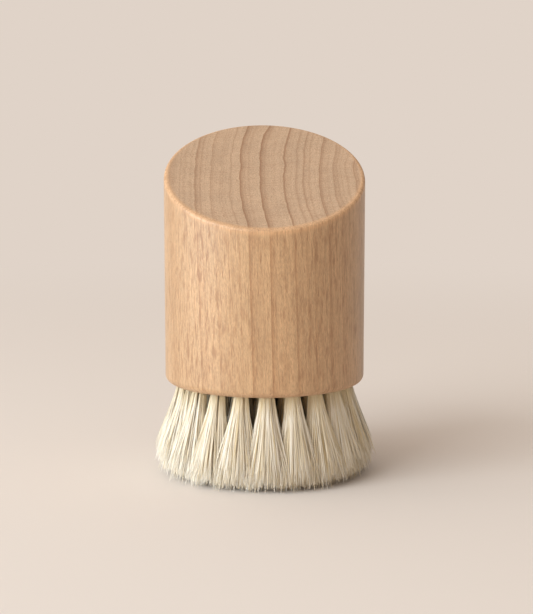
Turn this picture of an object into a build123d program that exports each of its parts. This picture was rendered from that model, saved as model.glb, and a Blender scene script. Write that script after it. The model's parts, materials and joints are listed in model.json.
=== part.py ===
"""Palm brush: a turned beech handle with a sloping palm face, and tufts of bristle set in drilled holes.

Lengths are in millimetres and angles in degrees. The origin is on the floor that the brush stands on,
under the middle of the handle, and +Z is up. The palm face slopes down towards -Y.

Each tuft is a bundle folded in half over a short flat anchor. The anchor is driven to the bottom of the
hole, and its two ends bite into the wood beside the hole, which is all that holds the tuft.
"""

from build123d import *

import math
import os
from dataclasses import dataclass

# Handle
handle_radius = 25.0
handle_height = 52.0  # on the axis, from the underside to the palm face
palm_slope = 25.0
rim_round = 0.9  # sanded edge of the palm face
foot_round = 1.8  # sanded edge of the underside

# Drilled holes
bristle_reach = 23.0  # from the underside of the handle to the floor
hole_radius = 2.0
hole_depth = 12.0
drill_point_angle = 118.0
drill_focus_height = 115.0  # above the underside: the point that all holes are drilled towards
edge_margin = 5.0  # from the handle's side to the middle of the outer holes
ring_names = ("outer", "middle", "inner")  # evenly spaced, with one more tuft in the middle
tuft_spacing = 6.3  # along a ring, before rounding to a whole number of tufts
first_tuft_angle = -90.0

# Anchors, cut from flat wire
anchor_bite = 0.4  # how far each end goes into the wood
anchor_width = 2.0
anchor_thickness = 0.36
anchor_clearance = 0.02
anchor_turn = 45.0  # from the way outwards, so that the ends of neighbours stay apart

# Tufts
root_clearance = 0.05  # between the packed root and the hole's wall
root_stub = 0.6  # how far the packed root stands out of the hole
fold_thickness = 1.2  # of the folded bristles under the anchor
fold_round = 1.4
strand_counts = (1, 4, 6)  # in the middle of a tuft and in each circle round it
strand_twist = 24.0  # from each tuft's circles of strands to the next tuft's
strand_root_width = 0.45
strand_tip_width = 0.85
strand_edge_gap = 0.2  # between the outermost strands and the side of the root
strand_gap = 0.3  # between the tips of neighbouring tufts
trim_round = 7.0  # rounded outer corner of the trimmed brush face

# Cutting tools
cut_overrun = 1.5

HALF_DIAGONAL = math.sqrt(2) / 2  # of a square of side 1


@dataclass
class Ring:
    """A ring of equal tufts, or the one tuft in the middle."""

    name: str
    radius: float
    count: int

    def tip_radius(self):
        """Where the middles of the tufts reach the floor."""
        return self.radius * (1 + bristle_reach / drill_focus_height)

    def frames(self):
        """The frame of each hole: origin in the mouth, X outwards, Z the way the bristles leave."""
        lean = math.atan(self.radius / drill_focus_height)
        found = []
        for number in range(self.count):
            turn = math.radians(first_tuft_angle + number * 360 / self.count)
            out = Vector(math.cos(turn), math.sin(turn), 0)
            up = Vector(0, 0, 1)
            found.append(
                Plane(
                    origin=out * self.radius + up * bristle_reach,
                    x_dir=out * math.cos(lean) + up * math.sin(lean),
                    z_dir=out * math.sin(lean) - up * math.cos(lean),
                )
            )
        return found


def ring_spacing():
    """From one ring to the next, and from the innermost ring to the middle."""
    return (handle_radius - edge_margin) / len(ring_names)


def make_rings():
    """The rings of holes from the outside inwards, and the hole in the middle."""
    rings = []
    for steps_in, name in enumerate(ring_names):
        radius = handle_radius - edge_margin - steps_in * ring_spacing()
        rings.append(Ring(name, radius, round(2 * math.pi * radius / tuft_spacing)))
    rings.append(Ring("centre", 0.0, 1))
    return rings


# Handle


def hole_tool():
    """The drill's shape, in the frame of a hole."""
    point_height = hole_radius / math.tan(math.radians(drill_point_angle / 2))
    outline = Polyline(
        (0, cut_overrun),
        (hole_radius, cut_overrun),
        (hole_radius, -hole_depth),
        (0, -hole_depth - point_height),
        close=True,
    )
    return revolve(Plane.XZ * make_face(outline), Axis.Z)


def anchor_block(clearance):
    """The anchor's shape, or the room it takes, in the frame of a hole."""
    room = 2 * clearance
    length = 2 * (hole_radius + anchor_bite)
    depth = hole_depth - fold_thickness - anchor_width / 2
    block = Box(length + room, anchor_thickness + room, anchor_width + room)
    return Pos(0, 0, -depth) * Rot(0, 0, anchor_turn) * block


def handle_blank():
    """The turned and sanded handle, before drilling."""
    low, high = bristle_reach, bristle_reach + handle_height
    rise = handle_radius * math.tan(math.radians(palm_slope))
    bar = Pos(0, 0, low) * extrude(Circle(handle_radius), handle_height + rise + cut_overrun)
    slope = math.radians(palm_slope)
    palm = Plane(origin=(0, 0, high), x_dir=(1, 0, 0), z_dir=(0, -math.sin(slope), math.cos(slope)))
    blank = split(bar, bisect_by=palm, keep=Keep.BOTTOM)
    blank = fillet(blank.edges().filter_by(GeomType.ELLIPSE), rim_round)
    return fillet(blank.edges().filter_by(GeomType.CIRCLE).sort_by(Axis.Z)[0], foot_round)


def make_handle(rings):
    """The handle with a hole and an anchor's bite for each tuft."""
    tools = []
    for ring in rings:
        for frame in ring.frames():
            tools.append(frame * hole_tool())
            tools.append(frame * anchor_block(anchor_clearance))
    return handle_blank() - tools


# Tufts


def packed_root():
    """The folded and packed part of a tuft, in the frame of its hole, with the slot that the anchor fills."""
    radius = hole_radius - root_clearance
    plug = Pos(0, 0, -hole_depth) * extrude(Circle(radius), hole_depth + root_stub)
    plug = fillet(plug.edges().sort_by(Axis.Z)[0], fold_round)
    return plug - anchor_block(anchor_clearance)


def square(middle, width, out, side):
    """The corners of a level square whose sides lie along out and side."""
    half = width / 2
    corners = [(1, 1), (-1, 1), (-1, -1), (1, -1)]
    return [middle + out * (half * a) + side * (half * b) for a, b in corners]


def strand(root, tip, out, side):
    """A straight four-sided strand with level ends, closed from its six flat faces."""
    top = square(root, strand_root_width, out, side)
    foot = square(tip, strand_tip_width, out, side)
    outlines = [top, foot]
    for i in range(len(top)):
        j = (i + 1) % len(top)
        outlines.append([top[i], top[j], foot[j], foot[i]])
    faces = [Face(Wire.make_polygon(corners, close=True)) for corners in outlines]
    return Solid(Shell(faces))


def trim_height(radius, brush_radius):
    """How far above the floor the brush face is trimmed, at a radius."""
    past = radius - (brush_radius - trim_round)
    if past <= 0:
        return 0.0
    return trim_round - math.sqrt(max(trim_round**2 - past**2, 0.0))


def strand_shares(number):
    """Where a tuft's strands stand, outwards and sideways, as shares of the tuft's spread."""
    shares = []
    for level, count in enumerate(strand_counts):
        reach = level / (len(strand_counts) - 1)
        for i in range(count):
            angle = 2 * math.pi * i / count + math.radians(strand_twist * (number + level))
            shares.append((reach * math.cos(angle), reach * math.sin(angle)))
    return shares


def make_tuft(ring, frame, number):
    """One tuft: the packed root, and strands that fan out from it to the trimmed brush face."""
    growth = 1 + bristle_reach / drill_focus_height
    tip_room = strand_tip_width * HALF_DIAGONAL + strand_gap / 2
    spread_out = ring_spacing() * growth / 2 - tip_room
    spread_side = spread_out
    if ring.count > 1:
        spread_side = min(spread_out, ring.tip_radius() * math.sin(math.pi / ring.count) - tip_room)
    root_reach = hole_radius - root_clearance - strand_edge_gap - strand_root_width * HALF_DIAGONAL
    brush_radius = (handle_radius - edge_margin) * growth + spread_out + strand_tip_width / 2

    turn = math.radians(first_tuft_angle + number * 360 / ring.count)
    out = Vector(math.cos(turn), math.sin(turn), 0)
    side = Vector(-math.sin(turn), math.cos(turn), 0)
    strands = []
    for along, across in strand_shares(number):
        root = frame.origin + out * (along * root_reach) + side * (across * root_reach)
        tip = out * (ring.tip_radius() + along * spread_out) + side * (across * spread_side)
        tip += Vector(0, 0, trim_height(tip.length, brush_radius))
        strands.append(strand(root, tip, out, side))
    return (frame * packed_root()).fuse(*strands)


def main():
    """Makes every piece and writes each as its own STEP file."""
    os.makedirs("parts", exist_ok=True)
    rings = make_rings()
    export_step(make_handle(rings), "parts/handle.step")
    for ring in rings:
        frames = ring.frames()
        for number, frame in enumerate(frames):
            name = f"tuft_{ring.name}_{number + 1:02d}" if ring.count > 1 else f"tuft_{ring.name}"
            tuft = make_tuft(ring, frame, number)
            export_step(tuft, f"parts/{name}.step")
        anchors = Compound([frame * anchor_block(0) for frame in frames])
        export_step(anchors, f"parts/anchors_{ring.name}.step")


main()
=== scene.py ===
"""A palm brush of turned beech that stands on its bristles, dressed round its fixed frame.

Sizes are written in millimetres and angles in degrees. They turn to metres and radians where a mesh, a
lamp or the camera is made.
"""

import json
import logging
import math
from dataclasses import dataclass, field
from enum import Enum
from typing import Any, ClassVar

import bpy
import numpy as np
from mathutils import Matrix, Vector


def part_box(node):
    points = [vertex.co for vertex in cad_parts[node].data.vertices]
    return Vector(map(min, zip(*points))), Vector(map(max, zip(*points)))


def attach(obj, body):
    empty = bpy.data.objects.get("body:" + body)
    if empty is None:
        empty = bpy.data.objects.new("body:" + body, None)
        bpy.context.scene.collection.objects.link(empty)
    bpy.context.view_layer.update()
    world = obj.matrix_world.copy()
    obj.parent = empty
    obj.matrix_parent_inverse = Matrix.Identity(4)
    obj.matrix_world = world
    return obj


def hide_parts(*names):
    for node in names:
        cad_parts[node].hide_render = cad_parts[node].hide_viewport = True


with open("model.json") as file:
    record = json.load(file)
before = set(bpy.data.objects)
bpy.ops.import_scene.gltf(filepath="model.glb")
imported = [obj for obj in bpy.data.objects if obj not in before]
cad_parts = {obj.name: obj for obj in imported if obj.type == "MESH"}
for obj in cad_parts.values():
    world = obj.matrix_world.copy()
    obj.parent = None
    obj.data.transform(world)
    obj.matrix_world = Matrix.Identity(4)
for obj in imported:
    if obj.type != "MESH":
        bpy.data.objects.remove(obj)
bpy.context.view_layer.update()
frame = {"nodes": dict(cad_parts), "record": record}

LOG = logging.getLogger("palm_brush")
MM = 0.001
COLOUR_A, COLOUR_B, COLOUR_OUT = 6, 7, 2  # the colour sockets of a Mix node
NOISE_MIDDLE = 0.5
NOISE_REACH = 0.25  # how far the noise strays from its middle

Place = tuple[float, float, float]
Span = tuple[float, float]
Tree = bpy.types.NodeTree
Socket = bpy.types.NodeSocket


def linear(hex_colour: str) -> tuple[float, float, float, float]:
    """Turns a written colour to the linear one that shaders take.

    Args:
        hex_colour: An sRGB colour, such as "#d9b48f".

    Returns:
        Linear red, green and blue, and an alpha of 1.
    """
    levels = [int(hex_colour[i:i + 2], 16) / 255 for i in (1, 3, 5)]
    red, green, blue = [v / 12.92 if v <= 0.04045 else ((v + 0.055) / 1.055) ** 2.4 for v in levels]
    return red, green, blue, 1.0


def add_node(tree: Tree, kind: str, inputs: dict[int | str, Any] | None = None,
             **settings: Any) -> bpy.types.Node:
    """Adds one node with its settings, its input values and the links into it.

    Args:
        tree: The node tree that takes the node.
        kind: Blender's name for the kind of node.
        inputs: For each input, by number or name, a value or the output that feeds it.
        **settings: The node's own settings, such as operation or data_type.

    Returns:
        The new node.
    """
    node = tree.nodes.new(kind)
    for name, value in settings.items():
        setattr(node, name, value)
    for key, value in (inputs or {}).items():
        if isinstance(value, Socket):
            tree.links.new(value, node.inputs[key])
        else:
            node.inputs[key].default_value = value
    return node


def new_material(name: str) -> tuple[bpy.types.Material, Tree]:
    """Makes an empty node material.

    Args:
        name: The finish's name.

    Returns:
        The material and its emptied node tree.
    """
    material = bpy.data.materials.new(name)
    material.use_nodes = True
    material.node_tree.nodes.clear()
    return material, material.node_tree


def wear(piece: bpy.types.Object, material: bpy.types.Material) -> None:
    """Gives a piece one material all over."""
    piece.data.materials.clear()
    piece.data.materials.append(material)


def seen_directly(tree: Tree) -> Socket:
    """Tells the rays that show the backdrop itself from those that only light the brush.

    Args:
        tree: The node tree of the board or the world.

    Returns:
        1 for a ray from the camera, a mirror or glass, and 0 for the rest.
    """
    path = add_node(tree, "ShaderNodeLightPath")
    shiny = add_node(tree, "ShaderNodeMath", {0: path.outputs["Is Glossy Ray"],
                                              1: path.outputs["Is Transmission Ray"]}, operation="MAXIMUM")
    return add_node(tree, "ShaderNodeMath", {0: path.outputs["Is Camera Ray"], 1: shiny.outputs[0]},
                    operation="MAXIMUM").outputs[0]


@dataclass(frozen=True)
class Grain:
    """A fine pattern in the wood: noise whose grains have one size along each axis."""

    size: Place
    detail: float  # how many finer layers there are
    low: float  # the noise level that turns to 0
    high: float  # the noise level that turns to 1
    contrast: float = 0.0  # how much the pattern lightens and darkens the wood
    layer_share: float = 0.6  # how strong each finer layer is, set against the one before

    def add(self, tree: Tree, place: Socket) -> Socket:
        """Adds the pattern to a material.

        Args:
            tree: The material's node tree.
            place: The point in the grain, in millimetres.

        Returns:
            The pattern, from 0 to 1.
        """
        spot = add_node(tree, "ShaderNodeVectorMath", {0: place, 1: tuple(1 / s for s in self.size)},
                        operation="MULTIPLY").outputs[0]
        noise = add_node(tree, "ShaderNodeTexNoise", {"Vector": spot, "Scale": 1.0, "Detail": self.detail,
                                                      "Roughness": self.layer_share}).outputs[0]
        return add_node(tree, "ShaderNodeMapRange", {0: noise, 1: self.low, 2: self.high}).outputs[0]


@dataclass(frozen=True)
class SandedBeech:
    """Beech, turned with its grain upright, sawn across at a slope and sanded fine, with no varnish.

    The yearly rings bow to the left and run from front to back. So the palm face shows them as lines with
    fine cross rays, and the side shows them as upright bands with the short dark flecks of the rays.

    The handle's sizes place the wear along its two edges.
    """

    radius: float
    underside: float
    palm_place: Vector
    palm_axis: Vector
    side_early: str = "#c4a17b"
    side_late: str = "#966842"
    end_early: str = "#c0a488"
    end_late: str = "#946f51"
    fleck: str = "#8a5b37"
    sanded_edge: str = "#d3a97f"
    # Where each ring starts, from the handle's axis to the right, and how dark its line is
    rings: tuple[Span, ...] = (
        (-28.0, 0.5), (-22.6, 0.55), (-16.5, 0.85), (-12.7, 0.6), (-9.7, 0.4), (-7.7, 0.3), (-5.3, 1.0),
        (-0.2, 0.8), (5.8, 0.95), (8.7, 0.7), (10.7, 0.45), (14.6, 0.85), (18.3, 0.5), (23.6, 0.6),
        (28.0, 0.5),
    )
    ring_edge: float = 0.14  # the light wood of one ring turns to the dark line of the next this fast
    ring_fade: float = 7.0  # the higher, the thinner the line
    ring_shade: float = 0.2  # how much of the darkness the whole ring has
    side_contrast: float = 0.6  # of the rings on the side, set against the palm face
    fine_ring_width: float = 0.8
    fine_ring_levels: Span = (0.45, 0.75)  # the noise levels where a fine ring starts and is darkest
    fine_ring_shade: float = 0.28
    pith_place: Place = (125.0, -5.0, 0.0)  # of the tree's middle
    grain_lean: float = 1.5  # degrees, to the left going up
    wander: float = 0.5
    wander_length: float = 12.0
    ripple: float = 0.12
    ripple_length: float = 3.2
    upright: float = 12.0  # the rings wander this much more slowly going up
    # Vessels and rays are drawn two to four times as wide as real ones, and single fibres and the marks of
    # the sanding grit as bundles, so that they show
    fibre: Grain = Grain((0.34, 0.34, 6.0), 4.0, 0.3, 0.7, contrast=0.13)
    vessel: Grain = Grain((0.3, 0.3, 3.4), 1.0, 0.57, 0.7)
    grit: Grain = Grain((0.28, 0.28, 0.9), 2.0, 0.32, 0.68, contrast=0.13)
    ray: Grain = Grain((7.0, 0.42, 4.5), 1.0, 0.53, 0.7)
    cloud: Grain = Grain((7.0, 9.0, 35.0), 2.0, 0.3, 0.7, contrast=0.07)
    vessel_share: float = 0.45  # of the fleck's colour in a vessel's dark line
    ray_tilt: Span = (0.1, 0.6)  # how far a face looks left or right where flecks are faintest and strongest
    ray_share: Span = (0.18, 0.55)  # of the fleck's colour at those two
    end_tilt: Span = (0.3, 0.8)  # how far a face looks up or down where end grain starts and is full
    edge_wear: float = 1.1  # how far in from the edges the wood is fully worn
    edge_wear_fade: float = 0.7  # how much further the wear fades out
    edge_wear_share: float = 0.75  # of the sanded edge's colour where it is most worn
    side_roughness: float = 0.36
    end_roughness: float = 0.7
    ior: float = 1.6
    relief: float = 0.05  # of the fibres that sanding leaves
    relief_strength: float = 0.6

    def material(self) -> bpy.types.Material:
        """Makes the beech: warm, pale and satin on the side, greyer and duller on the sawn end grain.

        Returns:
            The material.
        """
        material, tree = new_material("beech_turned_and_sanded")
        place = self._grain_place(tree)
        fibre = self.fibre.add(tree, place)
        grit = self.grit.add(tree, place)
        cloud = self.cloud.add(tree, place)
        end, side_on = self._faces(tree)

        colour = self._bare_colour(tree, place, end)
        worn = add_node(tree, "ShaderNodeMath", {0: self._edge_wear(tree, grit), 1: self.edge_wear_share},
                        operation="MULTIPLY").outputs[0]
        colour = add_node(tree, "ShaderNodeMix",
                          {0: worn, COLOUR_A: colour, COLOUR_B: linear(self.sanded_edge)},
                          data_type="RGBA").outputs[COLOUR_OUT]
        for grain, pattern in ((self.fibre, fibre), (self.grit, grit), (self.cloud, cloud)):
            gain = add_node(tree, "ShaderNodeMapRange", {0: pattern, 3: 1 - grain.contrast,
                                                         4: 1 + grain.contrast}).outputs[0]
            colour = add_node(tree, "ShaderNodeMix", {0: 1.0, COLOUR_A: colour, COLOUR_B: gain},
                              data_type="RGBA", blend_type="MULTIPLY").outputs[COLOUR_OUT]
        colour = add_node(tree, "ShaderNodeMix",
                          {0: self._marks(tree, place, side_on), COLOUR_A: colour,
                           COLOUR_B: linear(self.fleck)},
                          data_type="RGBA").outputs[COLOUR_OUT]

        roughness = add_node(tree, "ShaderNodeMapRange", {0: end, 3: self.side_roughness,
                                                          4: self.end_roughness}).outputs[0]
        height = add_node(tree, "ShaderNodeMath", {0: fibre, 1: grit}, operation="ADD").outputs[0]
        bump = add_node(tree, "ShaderNodeBump", {"Height": height, "Strength": self.relief_strength,
                                                 "Distance": self.relief * MM})
        skin = add_node(tree, "ShaderNodeBsdfPrincipled", {"Base Color": colour, "Roughness": roughness,
                                                           "IOR": self.ior, "Normal": bump.outputs[0]})
        add_node(tree, "ShaderNodeOutputMaterial", {"Surface": skin.outputs[0]})
        return material

    def _grain_place(self, tree: Tree) -> Socket:
        """Finds the point on the wood, with the grain's lean and wander taken out.

        Args:
            tree: The material's node tree.

        Returns:
            The point in the grain, in millimetres.
        """
        spot = add_node(tree, "ShaderNodeTexCoord").outputs["Object"]
        spot = add_node(tree, "ShaderNodeVectorMath", {0: spot, "Scale": 1 / MM},
                        operation="SCALE").outputs[0]
        height = add_node(tree, "ShaderNodeSeparateXYZ", {0: spot}).outputs[2]
        lean = add_node(tree, "ShaderNodeMath", {0: height, 1: self.underside},
                        operation="SUBTRACT").outputs[0]
        lean = add_node(tree, "ShaderNodeMath", {0: lean, 1: math.tan(math.radians(self.grain_lean))},
                        operation="MULTIPLY").outputs[0]
        shift = add_node(tree, "ShaderNodeCombineXYZ", {0: lean}).outputs[0]
        spot = add_node(tree, "ShaderNodeVectorMath", {0: spot, 1: shift}, operation="ADD").outputs[0]
        for length, reach in ((self.wander_length, self.wander), (self.ripple_length, self.ripple)):
            scale = (1 / length, 1 / length, 1 / (self.upright * length))
            squeezed = add_node(tree, "ShaderNodeVectorMath", {0: spot, 1: scale},
                                operation="MULTIPLY").outputs[0]
            noise = add_node(tree, "ShaderNodeTexNoise", {"Vector": squeezed, "Scale": 1.0,
                                                          "Detail": 1.0}).outputs["Color"]
            shift = add_node(tree, "ShaderNodeVectorMath", {0: noise, 1: (NOISE_MIDDLE,) * 3},
                             operation="SUBTRACT").outputs[0]
            shift = add_node(tree, "ShaderNodeVectorMath", {0: shift, "Scale": reach / NOISE_REACH},
                             operation="SCALE").outputs[0]
            spot = add_node(tree, "ShaderNodeVectorMath", {0: spot, 1: shift}, operation="ADD").outputs[0]
        return spot

    def _rings(self, tree: Tree, place: Socket) -> Socket:
        """Adds the yearly rings, each with a dark line on its left that fades to the right.

        Args:
            tree: The material's node tree.
            place: The point in the grain, in millimetres.

        Returns:
            How dark each point is.
        """
        spot = add_node(tree, "ShaderNodeVectorMath", {0: place, 1: self.pith_place},
                        operation="SUBTRACT").outputs[0]
        spot = add_node(tree, "ShaderNodeVectorMath", {0: spot, 1: (1, 1, 0)},
                        operation="MULTIPLY").outputs[0]
        reach = add_node(tree, "ShaderNodeVectorMath", {0: spot}, operation="LENGTH").outputs["Value"]
        across = add_node(tree, "ShaderNodeMath", {0: self.pith_place[0], 1: reach},
                          operation="SUBTRACT").outputs[0]
        first, last = self.rings[0][0], self.rings[-1][0]
        share = add_node(tree, "ShaderNodeMapRange", {0: across, 1: first, 2: last}).outputs[0]

        left = add_node(tree, "ShaderNodeValToRGB", {0: share})
        level = add_node(tree, "ShaderNodeValToRGB", {0: share})
        for start, darkness in self.rings[1:-1]:
            where = (start - first) / (last - first)
            left.color_ramp.elements.new(where).color = (0, 0, 0, 1)
            left.color_ramp.elements.new(where + self.ring_edge / (last - first)).color = (1, 1, 1, 1)
            level.color_ramp.elements.new(where).color = (darkness, darkness, darkness, 1)
        level.color_ramp.interpolation = "CONSTANT"
        left.color_ramp.elements[0].color = (1, 1, 1, 1)
        left.color_ramp.elements[-1].color = (0, 0, 0, 1)

        line = add_node(tree, "ShaderNodeMath", {0: left.outputs[0], 1: self.ring_fade},
                        operation="POWER").outputs[0]
        shade = add_node(tree, "ShaderNodeMath", {0: left.outputs[0], 1: self.ring_shade, 2: line},
                         operation="MULTIPLY_ADD").outputs[0]
        shade = add_node(tree, "ShaderNodeMath", {0: shade, 1: level.outputs[0]},
                         operation="MULTIPLY").outputs[0]
        noise = add_node(tree, "ShaderNodeTexNoise", {"W": across, "Scale": 1 / self.fine_ring_width,
                                                      "Detail": 2.0}, noise_dimensions="1D").outputs[0]
        fine = add_node(tree, "ShaderNodeMapRange",
                        {0: noise, 1: self.fine_ring_levels[0], 2: self.fine_ring_levels[1],
                         4: self.fine_ring_shade}).outputs[0]
        return add_node(tree, "ShaderNodeMath", {0: shade, 1: fine}, operation="ADD").outputs[0]

    def _bare_colour(self, tree: Tree, place: Socket, end: Socket) -> Socket:
        """Colours the rings, on the side and on the end grain.

        Args:
            tree: The material's node tree.
            place: The point in the grain, in millimetres.
            end: How much each point is end grain.

        Returns:
            The colour before wear, fibres and flecks.
        """
        late = self._rings(tree, place)
        side_late = add_node(tree, "ShaderNodeMath", {0: late, 1: self.side_contrast},
                             operation="MULTIPLY").outputs[0]
        faces = []
        for share, early, dark in ((side_late, self.side_early, self.side_late),
                                   (late, self.end_early, self.end_late)):
            faces.append(add_node(tree, "ShaderNodeMix",
                                  {0: share, COLOUR_A: linear(early), COLOUR_B: linear(dark)},
                                  data_type="RGBA").outputs[COLOUR_OUT])
        return add_node(tree, "ShaderNodeMix", {0: end, COLOUR_A: faces[0], COLOUR_B: faces[1]},
                        data_type="RGBA").outputs[COLOUR_OUT]

    def _marks(self, tree: Tree, place: Socket, side_on: Socket) -> Socket:
        """Adds the rays' flecks and the vessels' lines.

        Args:
            tree: The material's node tree.
            place: The point in the grain, in millimetres.
            side_on: How strongly the rays' cut ends show at each point.

        Returns:
            How much of the fleck's colour each point has, from 0 to 1.
        """
        fleck = add_node(tree, "ShaderNodeMath", {0: self.ray.add(tree, place), 1: side_on},
                         operation="MULTIPLY").outputs[0]
        line = add_node(tree, "ShaderNodeMath", {0: self.vessel.add(tree, place), 1: self.vessel_share},
                        operation="MULTIPLY").outputs[0]
        return add_node(tree, "ShaderNodeMath", {0: fleck, 1: line}, operation="MAXIMUM").outputs[0]

    def _faces(self, tree: Tree) -> tuple[Socket, Socket]:
        """Tells the faces apart by the way they look.

        Args:
            tree: The material's node tree.

        Returns:
            How much a point is end grain, from 0 to 1, and how strongly the rays' cut ends show there.
        """
        normal = add_node(tree, "ShaderNodeNewGeometry").outputs["Normal"]
        parts = add_node(tree, "ShaderNodeSeparateXYZ", {0: normal})
        level = add_node(tree, "ShaderNodeMath", {0: parts.outputs[2]}, operation="ABSOLUTE").outputs[0]
        end = add_node(tree, "ShaderNodeMapRange", {0: level, 1: self.end_tilt[0],
                                                    2: self.end_tilt[1]}).outputs[0]
        across = add_node(tree, "ShaderNodeMath", {0: parts.outputs[0]}, operation="ABSOLUTE").outputs[0]
        side_on = add_node(tree, "ShaderNodeMapRange",
                           {0: across, 1: self.ray_tilt[0], 2: self.ray_tilt[1], 3: self.ray_share[0],
                            4: self.ray_share[1]}).outputs[0]
        return end, side_on

    def _edge_wear(self, tree: Tree, grit: Socket) -> Socket:
        """Finds the bands along the two edges that sanding has rounded and polished.

        Args:
            tree: The material's node tree.
            grit: A fine pattern, which makes the bands' borders uneven.

        Returns:
            How worn each point is, from 0 to 1.
        """
        spot = add_node(tree, "ShaderNodeTexCoord").outputs["Object"]
        level = add_node(tree, "ShaderNodeVectorMath", {0: spot, 1: (1, 1, 0)},
                         operation="MULTIPLY").outputs[0]
        out = add_node(tree, "ShaderNodeVectorMath", {0: level}, operation="LENGTH").outputs["Value"]
        inwards = add_node(tree, "ShaderNodeMath", {0: self.radius * MM, 1: out},
                           operation="SUBTRACT").outputs[0]
        from_palm = add_node(tree, "ShaderNodeVectorMath", {0: self.palm_place * MM, 1: spot},
                             operation="SUBTRACT").outputs[0]
        from_palm = add_node(tree, "ShaderNodeVectorMath", {0: from_palm, 1: self.palm_axis},
                             operation="DOT_PRODUCT").outputs["Value"]
        height = add_node(tree, "ShaderNodeSeparateXYZ", {0: spot}).outputs[2]
        from_foot = add_node(tree, "ShaderNodeMath", {0: height, 1: self.underside * MM},
                             operation="SUBTRACT").outputs[0]
        nearest = add_node(tree, "ShaderNodeMath", {0: from_palm, 1: from_foot},
                           operation="MINIMUM").outputs[0]
        away = add_node(tree, "ShaderNodeMath", {0: nearest, 1: inwards}, operation="ADD").outputs[0]
        uneven = add_node(tree, "ShaderNodeMath", {0: grit, 1: self.edge_wear_fade * MM, 2: away},
                          operation="MULTIPLY_ADD").outputs[0]
        return add_node(tree, "ShaderNodeMapRange", {0: uneven, 1: self.edge_wear * MM,
                                                     2: (self.edge_wear + self.edge_wear_fade) * MM,
                                                     3: 1.0, 4: 0.0}).outputs[0]


@dataclass(frozen=True)
class NaturalBristle:
    """Undyed natural hair, washed, sorted and trimmed: cream, a little glossy, each hair its own shade."""

    dark_hair: str = "#dccca6"
    pale_hair: str = "#f6f3e9"
    # The root colour is painted shade: it darkens each hair near the hole's mouth, where the handle shades
    # the roots
    root: str = "#dac89b"
    root_shade_reach: float = 0.3  # of a hair's length in which the root's colour fades out
    root_shade_strength: float = 0.8
    roughness: float = 0.6
    ior: float = 1.55

    def material(self) -> bpy.types.Material:
        """Makes the hair: pale with tan strands among the cream ones, painted shade towards the roots, and a
        soft gloss.

        Returns:
            The material.
        """
        material, tree = new_material("bristle_natural_hair")
        tone = add_node(tree, "ShaderNodeAttribute", attribute_name=HairMesh.TONE).outputs["Fac"]
        along = add_node(tree, "ShaderNodeAttribute", attribute_name=HairMesh.ALONG).outputs["Fac"]
        colour = add_node(tree, "ShaderNodeMix", {0: tone, COLOUR_A: linear(self.dark_hair),
                                                  COLOUR_B: linear(self.pale_hair)},
                          data_type="RGBA").outputs[COLOUR_OUT]
        # Painted shade: the hairs darken towards the hole's mouth, under the handle
        root_shade = add_node(tree, "ShaderNodeMapRange",
                             {0: along, 2: self.root_shade_reach, 3: self.root_shade_strength, 4: 0.0}).outputs[0]
        colour = add_node(tree, "ShaderNodeMix",
                          {0: root_shade, COLOUR_A: colour, COLOUR_B: linear(self.root)},
                          data_type="RGBA").outputs[COLOUR_OUT]
        skin = add_node(tree, "ShaderNodeBsdfPrincipled", {"Base Color": colour, "Roughness": self.roughness,
                                                           "IOR": self.ior})
        add_node(tree, "ShaderNodeOutputMaterial", {"Surface": skin.outputs[0]})
        return material


@dataclass(frozen=True)
class DrawnWire:
    """Plain steel wire, drawn and rolled flat: grey, with fine lines along its length."""

    steel: str = "#a3a19d"
    line: str = "#85827d"
    line_width: float = 0.12  # coarser than the real drawing lines, so that they show
    line_stretch: float = 0.1  # how slowly the lines change from side to side, set against upwards
    roughness: float = 0.34
    roughness_reach: float = 0.1  # how far it strays from that in the lines

    def material(self) -> bpy.types.Material:
        """Makes the steel: a satin grey with level drawing lines.

        Returns:
            The material.
        """
        material, tree = new_material("anchor_wire_drawn_steel")
        spot = add_node(tree, "ShaderNodeTexCoord").outputs["Object"]
        spot = add_node(tree, "ShaderNodeVectorMath",
                        {0: spot, 1: (self.line_stretch, self.line_stretch, 1.0)},
                        operation="MULTIPLY").outputs[0]
        noise = add_node(tree, "ShaderNodeTexNoise", {"Vector": spot, "Scale": 1 / (self.line_width * MM),
                                                      "Detail": 2.0}).outputs[0]
        colour = add_node(tree, "ShaderNodeMix", {0: noise, COLOUR_A: linear(self.line),
                                                  COLOUR_B: linear(self.steel)},
                          data_type="RGBA").outputs[COLOUR_OUT]
        roughness = add_node(tree, "ShaderNodeMath",
                             {0: noise, 1: 2 * self.roughness_reach,
                              2: self.roughness - self.roughness_reach},
                             operation="MULTIPLY_ADD").outputs[0]
        skin = add_node(tree, "ShaderNodeBsdfPrincipled", {"Base Color": colour, "Metallic": 1.0,
                                                           "Roughness": roughness})
        add_node(tree, "ShaderNodeOutputMaterial", {"Surface": skin.outputs[0]})
        return material


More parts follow.
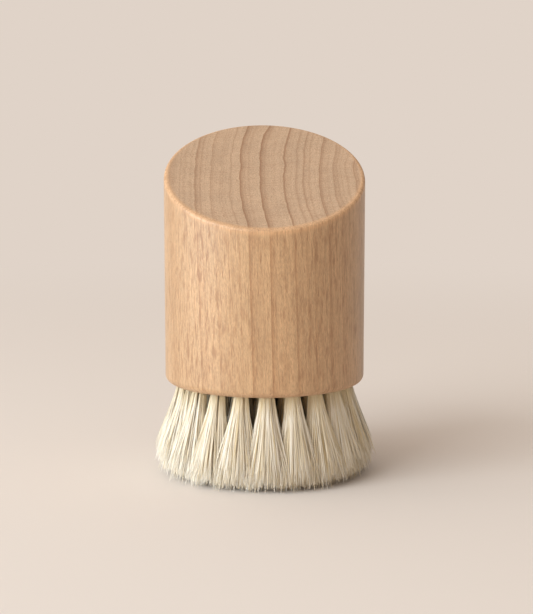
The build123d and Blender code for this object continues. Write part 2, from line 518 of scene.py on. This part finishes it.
@dataclass(frozen=True)
class PaintedBoard:
    """A board in matt beige paint, with no marks, which fades into the backdrop further out."""

    backdrop: str
    paint: str = "#e0dad5"
    roughness: float = 0.9
    gloss: float = 0.1
    fade_from: float = 90.0
    fade_to: float = 450.0

    def material(self) -> bpy.types.Material:
        """Makes the paint: dull and even, so that only the brush's soft shadow shows on it.

        Returns:
            The material.
        """
        material, tree = new_material("board_matt_paint")
        skin = add_node(tree, "ShaderNodeBsdfPrincipled",
                        {"Base Color": linear(self.paint), "Roughness": self.roughness,
                         "Specular IOR Level": self.gloss})
        spot = add_node(tree, "ShaderNodeTexCoord").outputs["Object"]
        out = add_node(tree, "ShaderNodeVectorMath", {0: spot}, operation="LENGTH").outputs["Value"]
        share = add_node(tree, "ShaderNodeMapRange", {0: out, 1: self.fade_from * MM, 2: self.fade_to * MM},
                         interpolation_type="SMOOTHSTEP").outputs[0]
        share = add_node(tree, "ShaderNodeMath", {0: share, 1: seen_directly(tree)},
                         operation="MULTIPLY").outputs[0]
        glow = add_node(tree, "ShaderNodeEmission", {"Color": linear(self.backdrop)})
        mix = add_node(tree, "ShaderNodeMixShader", {0: share, 1: skin.outputs[0], 2: glow.outputs[0]})
        add_node(tree, "ShaderNodeOutputMaterial", {"Surface": mix.outputs[0]})
        return material


class Ring(Enum):
    """The rings of tufts from the outside inwards, by the word in their nodes' names."""

    OUTER = "outer"
    MIDDLE = "middle"
    INNER = "inner"
    CENTRE = "centre"


@dataclass
class Handle:
    """The turned beech handle, which keeps its node's shape."""

    node: str = "handle"
    palm_mount: str = "palm_face"

    def radius(self) -> float:
        """Half of the handle's width."""
        low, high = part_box(self.node)
        return (high.x - low.x) / 2 / MM

    def underside(self) -> float:
        """The height of the face that the tufts are set in."""
        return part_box(self.node)[0].z / MM

    def dress(self) -> None:
        """Gives the handle its beech, worn along its two edges."""
        palm = next(mount for mount in frame["record"]["mounts"] if mount["name"] == self.palm_mount)
        beech = SandedBeech(self.radius(), self.underside(), Vector(palm["pos_m"]) / MM,
                            Vector(palm["axis"]))
        wear(frame["nodes"][self.node], beech.material())
        LOG.info("dressed %s", self.node)


@dataclass
class Anchors:
    """The flat wire anchors at the bottoms of the holes, which keep their nodes' shape."""

    nodes_start: str = "anchor"

    def dress(self) -> None:
        """Gives every anchor the drawn steel."""
        steel = DrawnWire().material()
        for name, piece in frame["nodes"].items():
            if name.startswith(self.nodes_start):
                wear(piece, steel)
                LOG.info("dressed %s", name)


@dataclass
class HairMesh:
    """Hairs as thin four-sided tubes, which carry their shade and how far along each point is.

    A real tuft glows because light passes from hair to hair, which these closed tubes don't let through.
    So the sides that look out of the bundle take the light partly as the whole bundle would.
    """

    TONE: ClassVar[str] = "hair_tone"
    ALONG: ClassVar[str] = "hair_along"

    sides: int = 4
    bundle_share: float = 2.0  # of the bundle's roundness, set against each hair's own

    def build(self, name: str, lines: np.ndarray, radii: np.ndarray, facing: np.ndarray, turns: np.ndarray,
              tones: np.ndarray, along: np.ndarray) -> bpy.types.Mesh:
        """Makes one mesh of closed tubes.

        Args:
            name: The mesh's name.
            lines: The tubes' middle lines, as tubes by points by 3, in millimetres.
            radii: Each tube's radius at each point, in millimetres.
            facing: The way out of the bundle at each point, as unit vectors.
            turns: How far each tube is turned about its middle line, in radians.
            tones: Each tube's shade, from 0 for dark to 1 for pale.
            along: How far each point is from the hole's mouth, from 0 to 1.

        Returns:
            The mesh, in metres.
        """
        tubes, points, _ = lines.shape
        run = np.gradient(lines, axis=1)
        run /= np.linalg.norm(run, axis=2, keepdims=True)
        first = facing - run * np.sum(run * facing, axis=2, keepdims=True)
        first /= np.linalg.norm(first, axis=2, keepdims=True)
        second = np.cross(run, first)
        turn = (turns[:, None] + np.pi * (2 * np.arange(self.sides) + 1) / self.sides)[:, None, :, None]
        ring = first[:, :, None] * np.cos(turn) + second[:, :, None] * np.sin(turn)
        corners = (lines[:, :, None] + ring * radii[:, :, None, None]).reshape(-1, 3) * MM

        index = np.arange(tubes * points * self.sides).reshape(tubes, points, self.sides)
        after = np.roll(index, -1, axis=2)
        walls = np.stack([index[:, :-1], after[:, :-1], after[:, 1:], index[:, 1:]], axis=-1).reshape(-1, 4)
        ends = np.concatenate([index[:, 0, ::-1], index[:, -1]])
        mesh = bpy.data.meshes.new(name)
        mesh.from_pydata(corners.tolist(), [], walls.tolist() + ends.tolist())

        facing = facing[:, :, None]
        outwards = 1 + np.sum(ring * facing, axis=3, keepdims=True)
        normals = (ring + facing * outwards * self.bundle_share).reshape(-1, 3)
        normals /= np.linalg.norm(normals, axis=1, keepdims=True)
        mesh.shade_smooth()
        mesh.normals_split_custom_set_from_vertices(normals.tolist())
        for title, values in ((self.TONE, np.repeat(tones, points * self.sides)),
                              (self.ALONG, np.repeat(along.ravel(), self.sides))):
            layer = mesh.attributes.new(title, "FLOAT", "POINT")
            layer.data.foreach_set("value", values.astype(np.float32))
        return mesh


@dataclass(frozen=True)
class Hole:
    """A drilled hole's place, and the ways out of it as unit vectors."""

    radius: float  # from the handle's axis
    mouth: np.ndarray
    out: np.ndarray  # level, away from the handle's axis
    side: np.ndarray  # level, along the ring
    down: np.ndarray  # along the hole, out of the wood
    over: np.ndarray  # square to down and side, outwards


@dataclass
class BrushFace:
    """Where the holes are, and how the whole face of the brush is trimmed."""

    handle: Handle
    edge_margin: float = 5.0  # from the handle's side to the middle of the outer holes
    hole_radius: float = 2.0
    hole_depth: float = 12.0
    fold_thickness: float = 1.2  # of the folded hairs under the anchor
    anchor_turn: float = 45.0  # degrees, from the way outwards
    drill_focus_height: float = 115.0  # above the underside, where the lines of all the holes meet
    first_tuft_angle: float = -90.0  # from the right, so the first tuft of each ring is in front
    brush_radius: float = 27.8
    trim_round: float = 7.2  # of the outer corner of the trimmed face
    trim_from: float = 0.4  # the trim meets each hair between this share of its length and the whole
    trim_steps: int = 61

    def count(self, ring: Ring) -> int:
        """How many tufts a ring has."""
        return sum(name.startswith(f"tuft_{ring.value}") for name in frame["nodes"])

    def hole(self, ring: Ring, number: int) -> Hole:
        """Places one hole.

        Args:
            ring: The ring that the hole is in.
            number: Its place in the ring, from 0.

        Returns:
            The hole.
        """
        steps = len(Ring) - 1
        radius = (self.handle.radius() - self.edge_margin) * (steps - list(Ring).index(ring)) / steps
        turn = math.radians(self.first_tuft_angle + 360 * number / self.count(ring))
        lean = math.atan(radius / self.drill_focus_height)
        out = np.array([math.cos(turn), math.sin(turn), 0.0])
        side = np.array([-math.sin(turn), math.cos(turn), 0.0])
        up = np.array([0.0, 0.0, 1.0])
        down = out * math.sin(lean) - up * math.cos(lean)
        mouth = out * radius + up * self.handle.underside()
        return Hole(radius, mouth, out, side, down, np.cross(down, side))

    def trim_height(self, radius: np.ndarray) -> np.ndarray:
        """How high above the floor the face is trimmed, at each distance from the axis."""
        past = np.clip(radius - (self.brush_radius - self.trim_round), 0, self.trim_round)
        return self.trim_round - np.sqrt(self.trim_round ** 2 - past ** 2)

    def trim_share(self, start: np.ndarray, end: np.ndarray) -> np.ndarray:
        """Finds where straight hairs meet the trimmed face.

        Args:
            start: Where each hair starts.
            end: Where each hair would reach the floor.

        Returns:
            The share of each hair's length that the trim leaves.
        """
        share = np.linspace(self.trim_from, 1, self.trim_steps)
        points = start[:, None] + (end - start)[:, None] * share[:, None]
        radius = np.hypot(points[..., 0], points[..., 1])
        past = (points[..., 2] < self.trim_height(radius)) | (radius > self.brush_radius)
        past[:, -1] = True
        return share[np.argmax(past, axis=1)]


@dataclass
class Tuft:
    """One tuft: hairs folded in half over an anchor, both halves leaving the hole and fanning out."""

    face: BrushFace
    ring: Ring
    number: int
    hairs: int
    spread_out: float = 5.7  # of the tips, from the tuft's middle, before the trim
    spread_side: float = 6.5
    hair_radius: float = 0.075  # thicker than real hair, so that a bearable number fills the hole
    thickness: Span = (0.65, 1.25)  # of the thinnest and the thickest hair, set against that
    packing: float = 0.87  # how much of the hole's width the bundle fills
    straight_start: float = 0.6  # how strongly the hairs keep the hole's direction as they leave it
    swell: float = 0.6  # how much the hair thickens below the mouth, where its ends split
    swell_end: float = 0.6  # how far along it is thickest
    point_start: float = 0.72  # how far along it starts to thin towards its tip
    point_by: float = 0.75  # how much of its thickness it has lost at the tip
    point_curve: float = 1.5  # the higher, the later it thins
    anchor_gap: float = 0.25  # from the hole's middle to the hairs on each side of the anchor
    clumps: int = 40
    clump_pull: float = 0.15  # how far the tips in a clump draw together
    tip_noise: float = 0.16  # how far single tips stand from their places, as a share of the spread
    stray_share: float = 0.08  # of the hairs, which stand further from their places
    stray_noise: float = 0.4
    spread_limit: float = 1.12  # no tip stands further out than this share of the spread
    short_by: float = 1.0  # how much the trim cuts most hairs too short, on average
    long_share: float = 0.2  # of the hairs, which stand past the trim
    long_by: float = 0.6
    clump_wave: float = 0.06  # how far the hairs of a clump sway together, and each by itself below
    hair_wave: float = 0.08
    wave_run: float = 4.5  # in radians, how much of a wave there is from the mouth to the tip
    leg_points: int = 5
    floor_gap: float = 0.1
    outward_share: float = 1.3  # of the brush's own roundness in how the tuft takes the light
    shade: float = 0.64  # from 0 for dark to 1 for pale
    clump_shade: float = 0.13  # how far a clump strays from that
    hair_shade: float = 0.3  # how far a hair strays from its clump

    def node(self) -> str:
        """The name of the node that the tuft stands for."""
        name = f"tuft_{self.ring.value}"
        return name if self.ring is Ring.CENTRE else f"{name}_{self.number + 1:02d}"

    def build(self, finish: bpy.types.Material) -> bpy.types.Object:
        """Makes the tuft in place of its plain node.

        Args:
            finish: The hair's material.

        Returns:
            The tuft.
        """
        chance = np.random.default_rng([list(Ring).index(self.ring), self.number])
        hole = self.face.hole(self.ring, self.number)
        bite = math.radians(self.face.anchor_turn)
        wire = hole.over * math.cos(bite) + hole.side * math.sin(bite)
        past = np.cross(hole.down, wire)
        room = self.packing * (self.face.hole_radius - self.hair_radius)

        # Each half crosses the hole's mouth on its own side of the anchor
        reach = room * np.sqrt(chance.random(self.hairs))
        angle = chance.uniform(0, math.pi, self.hairs)
        spots, legs, ways_out, tones = [], [], [], []
        for way in (1, -1):
            along_wire = reach * np.cos(angle)
            from_wire = way * (self.anchor_gap + (1 - self.anchor_gap / room) * reach * np.sin(angle))
            spots.append(along_wire[:, None] * wire + from_wire[:, None] * past)
            leg, way_out, tone = self._leg(chance, hole, spots[-1])
            legs.append(leg)
            ways_out.append(way_out)
            tones.append(tone)

        # The hair bends under the anchor, and has the first half's shade all along
        fold = hole.mouth - hole.down * (self.face.hole_depth - self.face.fold_thickness)
        bottom = hole.mouth - hole.down * (self.face.hole_depth - self.hair_radius)
        bend = [fold + spots[0], bottom + (spots[0] + spots[1]) / 2, fold + spots[1]]
        lines = np.concatenate([legs[0][:, ::-1], *(points[:, None] for points in bend), legs[1]], axis=1)
        inside = np.broadcast_to(hole.over, (self.hairs, len(bend), 3))
        facing = np.concatenate([ways_out[0][:, ::-1], inside, ways_out[1]], axis=1)
        share = np.linspace(0, 1, self.leg_points)
        along = np.concatenate([share[::-1], np.zeros(len(bend)), share])

        name = f"{self.node()}_hair"
        radii = self._radii(chance, along)
        turns = chance.uniform(0, 2 * math.pi, self.hairs)
        mesh = HairMesh().build(name, lines, radii, facing, turns, tones[0],
                                np.repeat(along[None], self.hairs, axis=0))
        piece = bpy.data.objects.new(name, mesh)
        bpy.context.scene.collection.objects.link(piece)
        wear(piece, finish)
        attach(piece, "root")
        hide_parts(self.node())
        return piece

    def _radii(self, chance: np.random.Generator, along: np.ndarray) -> np.ndarray:
        """Makes each hair thicker below the mouth and thin at its tips.

        Args:
            chance: The source of everything random.
            along: How far each point is from the hole's mouth, from 0 to 1.

        Returns:
            The radius of each hair at each point, in millimetres.
        """
        taper = 1 + self.swell * np.clip(along / self.swell_end, 0, 1)
        thinned = np.clip((along - self.point_start) / (1 - self.point_start), 0, 1)
        taper *= 1 - self.point_by * thinned ** self.point_curve
        return self.hair_radius * chance.uniform(*self.thickness, self.hairs)[:, None] * taper

    def _spread(self, chance: np.random.Generator, hole: Hole, spot: np.ndarray) -> tuple[np.ndarray, ...]:
        """Finds where each tip heads. Hairs stick together, so it is drawn towards one of a few places.

        Args:
            chance: The source of everything random.
            hole: The hole that the hairs leave.
            spot: Where each hair crosses the mouth, from the hole's middle.

        Returns:
            Each hair's clump by its number, and its tip's place outwards and sideways, as shares of the
            tuft's spread.
        """
        count = len(spot)
        places = np.stack([spot @ hole.over, spot @ hole.side], axis=1) / self.face.hole_radius
        clumps = chance.uniform(-1, 1, (self.clumps, 2))
        own = np.argmin(np.sum((places[:, None] - clumps) ** 2, axis=2), axis=1)
        spread = places + (clumps[own] - places) * self.clump_pull
        spread += chance.normal(0, self.tip_noise, (count, 2))
        stray = chance.random(count) < self.stray_share
        spread += stray[:, None] * chance.normal(0, self.stray_noise, (count, 2))
        spread /= np.maximum(1, np.linalg.norm(spread, axis=1) / self.spread_limit)[:, None]
        return own, spread

    def _leg(self, chance: np.random.Generator, hole: Hole, spot: np.ndarray) -> tuple[np.ndarray, ...]:
        """Makes one half of each hair, from the mouth of the hole to its trimmed tip.

        Args:
            chance: The source of everything random.
            hole: The hole that the hairs leave.
            spot: Where each hair crosses the mouth, from the hole's middle.

        Returns:
            The points of each half, as halves by points by 3, the way out of the tuft at each of them, and
            each hair's shade from 0 to 1.
        """
        count = len(spot)
        own, spread = self._spread(chance, hole, spot)
        reach = self.face.handle.underside()
        middle = hole.out * hole.radius * (1 + reach / self.face.drill_focus_height)
        start = hole.mouth + spot
        end = middle + np.outer(spread[:, 0] * self.spread_out, hole.out)
        end += np.outer(spread[:, 1] * self.spread_side, hole.side)
        cut = self.face.trim_share(start, end)
        uneven = np.where(chance.random(count) < self.long_share, chance.exponential(self.long_by, count),
                          -chance.exponential(self.short_by, count))
        cut += uneven / reach

        share = np.linspace(0, 1, self.leg_points)[:, None]
        part = share * cut[:, None, None]
        straight = start[:, None] + (end - start)[:, None] * part
        packed = start[:, None] + hole.down * reach * part
        lines = straight + (packed - straight) * self.straight_start * (1 - share) ** 2
        for wave, phase_of in ((self.clump_wave, own), (self.hair_wave, np.arange(count))):
            phase = chance.uniform(0, 2 * math.pi, (count, 2))[phase_of][:, None]
            size = chance.normal(0, wave, (count, 2))[phase_of][:, None]
            sway = size * (np.sin(phase + share * self.wave_run) - np.sin(phase)) * share
            lines += sway[..., :1] * hole.side + sway[..., 1:] * hole.out
        lines[..., 2] = np.maximum(lines[..., 2], self.floor_gap)

        core = hole.mouth + (middle - hole.mouth) * part
        width = self.face.hole_radius * (1 - part) + self.spread_side * part
        way_out = (lines - core) / width + hole.out * self.outward_share
        way_out /= np.linalg.norm(way_out, axis=2, keepdims=True)
        shade = chance.normal(self.shade, self.clump_shade, self.clumps)[own]
        shade += chance.normal(0, self.hair_shade, count)
        return lines, way_out, np.clip(shade, 0, 1)


@dataclass
class Bristles:
    """All the tufts, ring by ring, from the outside inwards."""

    face: BrushFace
    hairs: dict[Ring, int] = field(default_factory=lambda: {
        Ring.OUTER: 340, Ring.MIDDLE: 150, Ring.INNER: 130, Ring.CENTRE: 130})

    def build(self) -> None:
        """Makes every tuft."""
        finish = NaturalBristle().material()
        for ring in Ring:
            for number in range(self.face.count(ring)):
                piece = Tuft(self.face, ring, number, self.hairs[ring]).build(finish)
                LOG.info("made %s with %d faces", piece.name, len(piece.data.polygons))


@dataclass(frozen=True)
class Softbox:
    """A soft lamp that looks at the brush and isn't seen itself."""

    name: str
    place: Place
    width: float
    height: float
    power: float  # in watts
    tint: str

    def build(self, target: Vector) -> None:
        """Hangs the lamp.

        Args:
            target: What the lamp looks at, in metres.
        """
        lamp = bpy.data.lights.new(self.name, "AREA")
        lamp.shape = "RECTANGLE"
        lamp.size = self.width * MM
        lamp.size_y = self.height * MM
        lamp.energy = self.power
        lamp.color = linear(self.tint)[:3]
        holder = bpy.data.objects.new(self.name, lamp)
        holder.location = Vector(self.place) * MM
        holder.rotation_mode = "QUATERNION"
        holder.rotation_quaternion = (target - holder.location).to_track_quat("-Z", "Y")
        holder.visible_camera = False
        bpy.context.scene.collection.objects.link(holder)
        LOG.info("hung %s", self.name)


@dataclass
class Studio:
    """The painted board, the soft light and the camera."""

    camera_distance: float = 400.0
    camera_pitch: float = 8.43
    camera_turn: float = 1.69  # towards the left, from square to the low side of the palm face
    camera_aim: Place = (0.49, 0.0, 41.5)
    lens: float = 93.2
    board_radius: float = 4000.0
    board_sides: int = 96
    backdrop: str = "#e0d3c8"
    ambient: str = "#a2978d"
    ambient_from: Place = (-0.68, 0.0, 0.73)  # the even light is strongest from here
    ambient_focus: float = 1.6  # the higher, the darker it is on the other side
    # The low card lights the gaps between the tufts, where real hair would pass light on
    lamps: tuple[Softbox, ...] = (
        Softbox("key_front_left", (-825.0, -665.0, 811.0), 850.0, 850.0, power=9.6, tint="#f7fdff"),
        Softbox("side_left", (-1265.0, -339.0, 210.0), 1300.0, 380.0, power=10.2, tint="#e6f5ff"),
        Softbox("low_card_front", (-100.0, -1500.0, 110.0), 200.0, 200.0, power=1.5, tint="#ffcc95"),
    )

    def build(self) -> None:
        """Makes the board, the lamps, the even light and the camera."""
        self._board()
        target = Vector(self.camera_aim) * MM
        for lamp in self.lamps:
            lamp.build(target)
        self._even_light()
        self._camera(target)
        bpy.context.scene.view_settings.view_transform = "Standard"

    def _board(self) -> None:
        """Makes the floor as one round sheet."""
        turns = [2 * math.pi * i / self.board_sides for i in range(self.board_sides)]
        reach = self.board_radius * MM
        mesh = bpy.data.meshes.new("board")
        mesh.from_pydata([(reach * math.cos(t), reach * math.sin(t), 0) for t in turns], [],
                         [list(range(self.board_sides))])
        board = bpy.data.objects.new("board", mesh)
        bpy.context.scene.collection.objects.link(board)
        wear(board, PaintedBoard(self.backdrop).material())
        LOG.info("made %s", board.name)

    def _even_light(self) -> None:
        """Lights the brush softly from all round, and shows the backdrop's colour beyond the board."""
        world = bpy.data.worlds.new("even_light")
        world.use_nodes = True
        tree = world.node_tree
        tree.nodes.clear()
        colour = add_node(tree, "ShaderNodeMix", {0: seen_directly(tree), COLOUR_A: linear(self.ambient),
                                                  COLOUR_B: linear(self.backdrop)},
                          data_type="RGBA").outputs[COLOUR_OUT]
        way = add_node(tree, "ShaderNodeTexCoord").outputs["Generated"]
        towards = add_node(tree, "ShaderNodeVectorMath", {0: way, 1: self.ambient_from},
                           operation="DOT_PRODUCT").outputs["Value"]
        level = add_node(tree, "ShaderNodeMath", {0: towards, 1: 1.0}, operation="ADD").outputs[0]
        level = add_node(tree, "ShaderNodeMath", {0: level, 1: self.ambient_focus},
                         operation="POWER").outputs[0]
        level = add_node(tree, "ShaderNodeMix", {0: seen_directly(tree), 2: level, 3: 1.0}).outputs[0]
        glow = add_node(tree, "ShaderNodeBackground", {"Color": colour, "Strength": level})
        add_node(tree, "ShaderNodeOutputWorld", {"Surface": glow.outputs[0]})
        bpy.context.scene.world = world

    def _camera(self, target: Vector) -> None:
        """Makes the camera.

        Args:
            target: What the camera looks at, in metres.
        """
        camera = bpy.data.cameras.new("camera")
        camera.lens = self.lens
        pitch, turn = math.radians(self.camera_pitch), math.radians(self.camera_turn)
        level = math.cos(pitch)
        back = Vector((-math.sin(turn) * level, -math.cos(turn) * level, math.sin(pitch)))
        holder = bpy.data.objects.new("camera", camera)
        holder.location = target + back * self.camera_distance * MM
        holder.rotation_mode = "QUATERNION"
        holder.rotation_quaternion = (-back).to_track_quat("-Z", "Y")
        bpy.context.scene.collection.objects.link(holder)
        bpy.context.scene.camera = holder


def main() -> None:
    """Builds the brush and the studio round it."""
    logging.basicConfig(level=logging.INFO, format="%(message)s")
    handle = Handle()
    handle.dress()
    Anchors().dress()
    Bristles(BrushFace(handle)).build()
    Studio().build()


if __name__ == "__main__":
    main()
